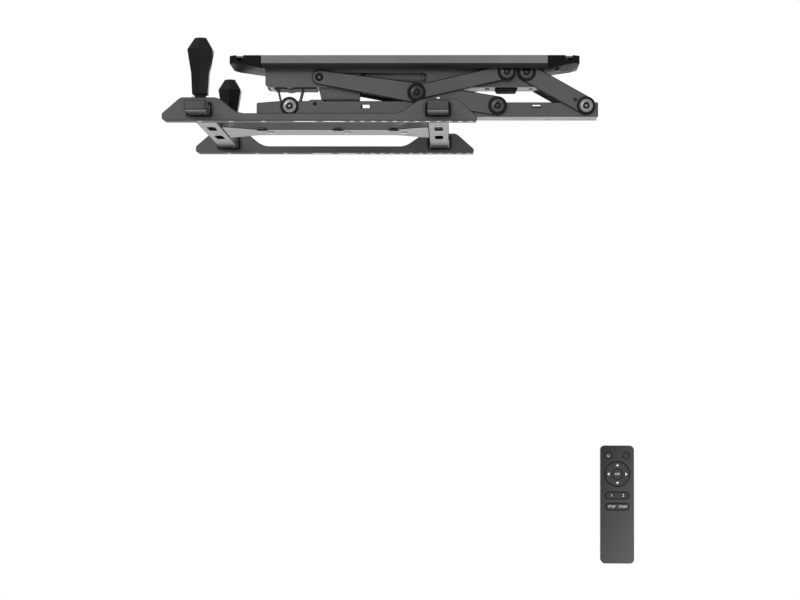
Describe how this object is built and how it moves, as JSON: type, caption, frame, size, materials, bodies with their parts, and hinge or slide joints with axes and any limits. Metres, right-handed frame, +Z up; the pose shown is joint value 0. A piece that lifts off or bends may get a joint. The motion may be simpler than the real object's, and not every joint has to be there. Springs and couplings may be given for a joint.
{
  "type": "motorized tv ceiling mount",
  "caption": "Motorized flip-down television ceiling mount: a coupled linkage and rope winch swing a rail frame from flat under the ceiling to upright.",
  "frame": {"origin": "middle of the ceiling plate's upper face, which lies on the ceiling", "axes": "+X towards the pivot end, +Z up into the ceiling, +Y across"},
  "size_m": [0.6885, 0.536, 0.766],
  "materials": {
    "plate_grey": "fine satin powder coat",
    "dark_coat": "fine textured dark grey powder coat",
    "pan_black": "satin black powder coat",
    "black_plastic": "moulded matt black",
    "bright_steel": "zinc plated",
    "pivot_steel": "turned and darkened",
    "ring_black": "moulded matt black",
    "rope_steel": "stranded wire",
    "stop_rubber": "matt",
    "board_green": "solder mask",
    "lens_dark": "glossy dark red",
    "remote_black": "satin black",
    "button_grey": "soft satin dark grey"
  },
  "bodies": {
    "base": {"ceiling_plate": "plate_grey", "cover_pan": "pan_black", "end_cap_left": "black_plastic", "end_cap_right": "black_plastic", "cap_screws": "bright_steel", "housing": "dark_coat", "gearmotor": "bright_steel", "gear_case": "dark_coat", "drum_bushes": "bright_steel", "rope_eyelets": "black_plastic", "control_board": "board_green", "receiver_window": "lens_dark", "power_inlet": "black_plastic", "rubber_stop": "stop_rubber", "housing_screws": "bright_steel", "base_bolts": "pivot_steel", "base_rings": "ring_black", "base_spacers": "dark_coat", "remote_face": "remote_black", "remote_back": "remote_black"},
    "drum": {"winding_drum": "bright_steel"},
    "rockers": {"near_rocker": "dark_coat", "far_rocker": "dark_coat"},
    "lift_bars": {"near_lift_bar": "dark_coat", "far_lift_bar": "dark_coat", "middle_bolts": "pivot_steel", "middle_rings": "ring_black", "slider_bolts": "bright_steel"},
    "tail_links": {"near_tail_link": "dark_coat", "far_tail_link": "dark_coat", "tail_bolts": "pivot_steel", "tail_rings": "ring_black"},
    "swing_frame": {"swing_channel": "dark_coat", "channel_bolts": "pivot_steel", "channel_rings": "ring_black", "sheave_axle": "bright_steel", "spine": "dark_coat", "spine_spacers": "dark_coat", "spine_screws": "bright_steel", "left_rail": "dark_coat", "right_rail": "dark_coat", "rail_caps": "black_plastic"},
    "sheaves": {"lift_sheaves": "black_plastic"},
    "rope_reach": {"ropes": "rope_steel"},
    "near_arm_set": {"near_arm": "dark_coat", "near_liners": "black_plastic", "near_screws": "bright_steel"},
    "near_knob_set": {"near_clamp_screw": "bright_steel", "near_knob": "black_plastic"},
    "far_arm_set": {"far_arm": "dark_coat", "far_liners": "black_plastic", "far_screws": "bright_steel"},
    "far_knob_set": {"far_clamp_screw": "bright_steel", "far_knob": "black_plastic"},
    "power_button": {"power_button": "button_grey"},
    "mode_button": {"mode_button": "button_grey"},
    "pad_ring": {"pad_ring": "button_grey"},
    "pad_centre": {"pad_centre": "button_grey"},
    "number_keys": {"number_keys": "button_grey"},
    "lower_keys": {"lower_keys": "button_grey"}
  },
  "joints": [
    {"name": "fold", "type": "hinge", "parent": "base", "child": "rockers", "pos_m": [0.1596, 0, -0.0239], "axis": [0, -1, 0], "range_deg": [0, 55]},
    {"name": "bar_fold", "type": "hinge", "parent": "rockers", "child": "lift_bars", "pos_m": [0.0193, 0, -0.0563], "axis": [0, -1, 0], "range_deg": [-101.76, 0]},
    {"name": "channel_fold", "type": "hinge", "parent": "lift_bars", "child": "swing_frame", "pos_m": [0.1453, 0, -0.0764], "axis": [0, -1, 0], "range_deg": [0, 123.46]},
    {"name": "tail_fold", "type": "hinge", "parent": "base", "child": "tail_links", "pos_m": [0.1903, 0, -0.0239], "axis": [0, -1, 0], "range_deg": [-50.37, 0]},
    {"name": "drum_spin", "type": "hinge", "parent": "base", "child": "drum", "pos_m": [-0.1794, 0, -0.033], "axis": [0, -1, 0], "continuous": true},
    {"name": "rope_swing", "type": "hinge", "parent": "base", "child": "rope_reach", "pos_m": [0.96942, 0, 0.23793], "axis": [0, -1, 0], "range_deg": [0, 28.01], "deforming": ["ropes"]},
    {"name": "sheave_spin", "type": "hinge", "parent": "swing_frame", "child": "sheaves", "pos_m": [-0.1794, 0, -0.0764], "axis": [0, -1, 0], "continuous": true},
    {"name": "near_arm_slide", "type": "slide", "parent": "swing_frame", "child": "near_arm_set", "axis": [0, -1, 0], "range_m": [-0.1, 0.025]},
    {"name": "far_arm_slide", "type": "slide", "parent": "swing_frame", "child": "far_arm_set", "axis": [0, 1, 0], "range_m": [-0.1, 0.025]},
    {"name": "near_knob_turn", "type": "hinge", "parent": "near_arm_set", "child": "near_knob_set", "pos_m": [-0.297, -0.2, 0], "axis": [0, 0, 1], "continuous": true},
    {"name": "far_knob_turn", "type": "hinge", "parent": "far_arm_set", "child": "far_knob_set", "pos_m": [-0.297, 0.2, 0], "axis": [0, 0, 1], "continuous": true},
    {"name": "power_press", "type": "slide", "parent": "base", "child": "power_button", "axis": [0, 1, 0], "range_m": [0, 0.0009], "stiffness_N_per_m": 300},
    {"name": "mode_press", "type": "slide", "parent": "base", "child": "mode_button", "axis": [0, 1, 0], "range_m": [0, 0.0009], "stiffness_N_per_m": 300},
    {"name": "pad_press", "type": "slide", "parent": "base", "child": "pad_ring", "axis": [0, 1, 0], "range_m": [0, 0.0009], "stiffness_N_per_m": 300},
    {"name": "centre_press", "type": "slide", "parent": "base", "child": "pad_centre", "axis": [0, 1, 0], "range_m": [0, 0.0009], "stiffness_N_per_m": 300},
    {"name": "number_keys_tilt", "type": "hinge", "parent": "base", "child": "number_keys", "pos_m": [0.3123, -0.2488, -0.669], "axis": [0, 0, 1], "range_deg": [-3, 3], "stiffness_Nm_per_rad": 0.05},
    {"name": "lower_keys_tilt", "type": "hinge", "parent": "base", "child": "lower_keys", "pos_m": [0.3123, -0.2488, -0.685], "axis": [0, 0, 1], "range_deg": [-3, 3], "stiffness_Nm_per_rad": 0.05}
  ],
  "couplings": [
    {"joint": "bar_fold", "follows": "fold", "ratio": -1.85},
    {"joint": "channel_fold", "follows": "fold", "ratio": 2.2445},
    {"joint": "tail_fold", "follows": "fold", "ratio": -0.91567},
    {"joint": "rope_swing", "follows": "fold", "ratio": 0.50909}
  ]
}
